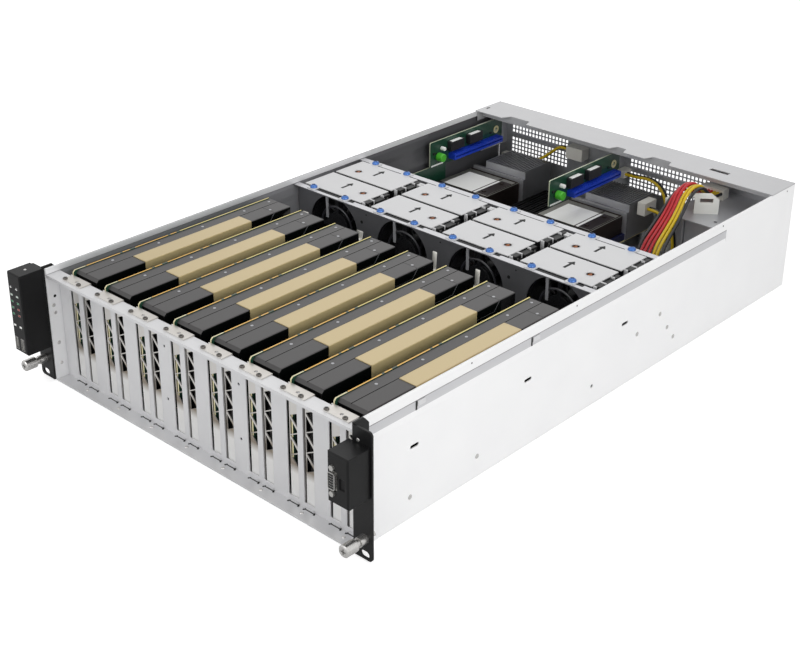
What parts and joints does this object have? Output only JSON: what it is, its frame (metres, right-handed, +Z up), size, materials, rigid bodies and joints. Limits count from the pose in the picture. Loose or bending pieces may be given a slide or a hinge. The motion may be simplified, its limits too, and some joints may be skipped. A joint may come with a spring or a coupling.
{
  "type": "rack server",
  "caption": "Rack server with its lid off: upright cards behind slot brackets, fan rows across the middle, and boards, risers and sliding supplies at the rear.",
  "frame": {"origin": "middle of the bounding box, on the underside of the base tray", "axes": "+X to the right seen from the front, +Y from the card brackets to the supplies, +Z up"},
  "size_m": [0.4826, 0.786, 0.131],
  "materials": {
    "zinc_sheet": "zinc-plated sheet, satin, slightly cool",
    "dark_sheet": "zinc-plated sheet in shade",
    "carrier_sheet": "light grey sheet, satin",
    "bracket_steel": "nickel-plated steel, warm in the light",
    "board_green": "fibreglass laminate under dark green lacquer",
    "shroud_black": "moulded black plastic, glossy sides and satin top",
    "champagne_plate": "anodised aluminium, champagne, fine brushed",
    "socket_black": "moulded nylon",
    "slot_blue": "moulded blue nylon",
    "fan_black": "glass-filled black plastic",
    "screw_blue": "blue plated steel",
    "cooler_grey": "extruded aluminium fins",
    "supply_zinc": "zinc-plated casing",
    "ear_black": "black powder coat",
    "box_black": "moulded black plastic, fine grain",
    "key_grey": "light grey plastic",
    "lamp_clear": "milky light guides",
    "port_nickel": "nickel-plated shell",
    "screw_nickel": "nickel-plated steel",
    "bracket_white": "white moulded plastic",
    "cable_red": "soft insulation",
    "cable_yellow": "soft insulation",
    "cable_black": "soft insulation",
    "plug_white": "natural nylon"
  },
  "bodies": {
    "chassis": {"base_tray": "zinc_sheet", "black_cables": "cable_black", "cable_bracket": "bracket_white", "cable_plugs": "plug_white", "card_boards": "board_green", "card_brackets": "bracket_steel", "card_plates": "champagne_plate", "card_shroud_1": "shroud_black", "card_shroud_2": "shroud_black", "card_shroud_3": "shroud_black", "card_shroud_4": "shroud_black", "card_shroud_5": "shroud_black", "card_shroud_6": "shroud_black", "card_shroud_7": "shroud_black", "card_shroud_8": "shroud_black", "card_sockets": "socket_black", "control_box_left": "box_black", "control_box_right": "box_black", "ear_left": "ear_black", "ear_right": "ear_black", "fan_carriers": "carrier_sheet", "fan_frame": "dark_sheet", "fan_housings": "fan_black", "fan_screws": "screw_blue", "front_coolers": "cooler_grey", "front_panel": "zinc_sheet", "mainboards": "board_green", "memory_sockets": "socket_black", "rear_coolers": "cooler_grey", "rear_cover": "zinc_sheet", "rear_panel": "zinc_sheet", "rear_ports": "port_nickel", "red_cables": "cable_red", "riser_boards": "board_green", "riser_brackets": "zinc_sheet", "riser_slots": "slot_blue", "side_wall_left": "zinc_sheet", "side_wall_right": "zinc_sheet", "slot_blanks": "zinc_sheet", "slot_board": "board_green", "status_lenses": "lamp_clear", "supply_cage": "zinc_sheet", "thumbscrew_collars": "screw_nickel", "usb_ports": "port_nickel", "video_port": "port_nickel", "yellow_cables": "cable_yellow"},
    "fan_rotor_1_body": {"fan_rotor_1": "fan_black"},
    "fan_rotor_2_body": {"fan_rotor_2": "fan_black"},
    "fan_rotor_3_body": {"fan_rotor_3": "fan_black"},
    "fan_rotor_4_body": {"fan_rotor_4": "fan_black"},
    "fan_rotor_5_body": {"fan_rotor_5": "fan_black"},
    "fan_rotor_6_body": {"fan_rotor_6": "fan_black"},
    "fan_rotor_7_body": {"fan_rotor_7": "fan_black"},
    "fan_rotor_8_body": {"fan_rotor_8": "fan_black"},
    "thumbscrew_left_body": {"thumbscrew_left": "screw_nickel"},
    "thumbscrew_right_body": {"thumbscrew_right": "screw_nickel"},
    "power_button_body": {"power_button": "key_grey"},
    "id_button_body": {"id_button": "key_grey"},
    "supply_lower_body": {"supply_lower": "supply_zinc"},
    "supply_upper_body": {"supply_upper": "supply_zinc"}
  },
  "joints": [
    {"name": "fan_rotor_1_spin", "type": "hinge", "parent": "chassis", "child": "fan_rotor_1_body", "pos_m": [-0.158, -0.006, 0.081], "axis": [0, 1, 0], "continuous": true},
    {"name": "fan_rotor_2_spin", "type": "hinge", "parent": "chassis", "child": "fan_rotor_2_body", "pos_m": [-0.0515, -0.006, 0.081], "axis": [0, 1, 0], "continuous": true},
    {"name": "fan_rotor_3_spin", "type": "hinge", "parent": "chassis", "child": "fan_rotor_3_body", "pos_m": [0.055, -0.006, 0.081], "axis": [0, 1, 0], "continuous": true},
    {"name": "fan_rotor_4_spin", "type": "hinge", "parent": "chassis", "child": "fan_rotor_4_body", "pos_m": [0.1615, -0.006, 0.081], "axis": [0, 1, 0], "continuous": true},
    {"name": "fan_rotor_5_spin", "type": "hinge", "parent": "chassis", "child": "fan_rotor_5_body", "pos_m": [-0.158, 0.0475, 0.081], "axis": [0, 1, 0], "continuous": true},
    {"name": "fan_rotor_6_spin", "type": "hinge", "parent": "chassis", "child": "fan_rotor_6_body", "pos_m": [-0.0515, 0.0475, 0.081], "axis": [0, 1, 0], "continuous": true},
    {"name": "fan_rotor_7_spin", "type": "hinge", "parent": "chassis", "child": "fan_rotor_7_body", "pos_m": [0.055, 0.0475, 0.081], "axis": [0, 1, 0], "continuous": true},
    {"name": "fan_rotor_8_spin", "type": "hinge", "parent": "chassis", "child": "fan_rotor_8_body", "pos_m": [0.1615, 0.0475, 0.081], "axis": [0, 1, 0], "continuous": true},
    {"name": "thumbscrew_left_turn", "type": "hinge", "parent": "chassis", "child": "thumbscrew_left_body", "pos_m": [-0.23255, -0.373, 0.0222], "axis": [0, 1, 0], "continuous": true},
    {"name": "thumbscrew_right_turn", "type": "hinge", "parent": "chassis", "child": "thumbscrew_right_body", "pos_m": [0.23255, -0.373, 0.0222], "axis": [0, 1, 0], "continuous": true},
    {"name": "power_button_press", "type": "slide", "parent": "chassis", "child": "power_button_body", "axis": [0, 1, 0], "range_m": [0, 0.001], "stiffness_N_per_m": 500, "springref_m": -0.002},
    {"name": "id_button_press", "type": "slide", "parent": "chassis", "child": "id_button_body", "axis": [0, 1, 0], "range_m": [0, 0.001], "stiffness_N_per_m": 500, "springref_m": -0.002},
    {"name": "supply_lower_draw", "type": "slide", "parent": "chassis", "child": "supply_lower_body", "axis": [0, 1, 0], "range_m": [0, 0.1]},
    {"name": "supply_upper_draw", "type": "slide", "parent": "chassis", "child": "supply_upper_body", "axis": [0, 1, 0], "range_m": [0, 0.1]}
  ]
}
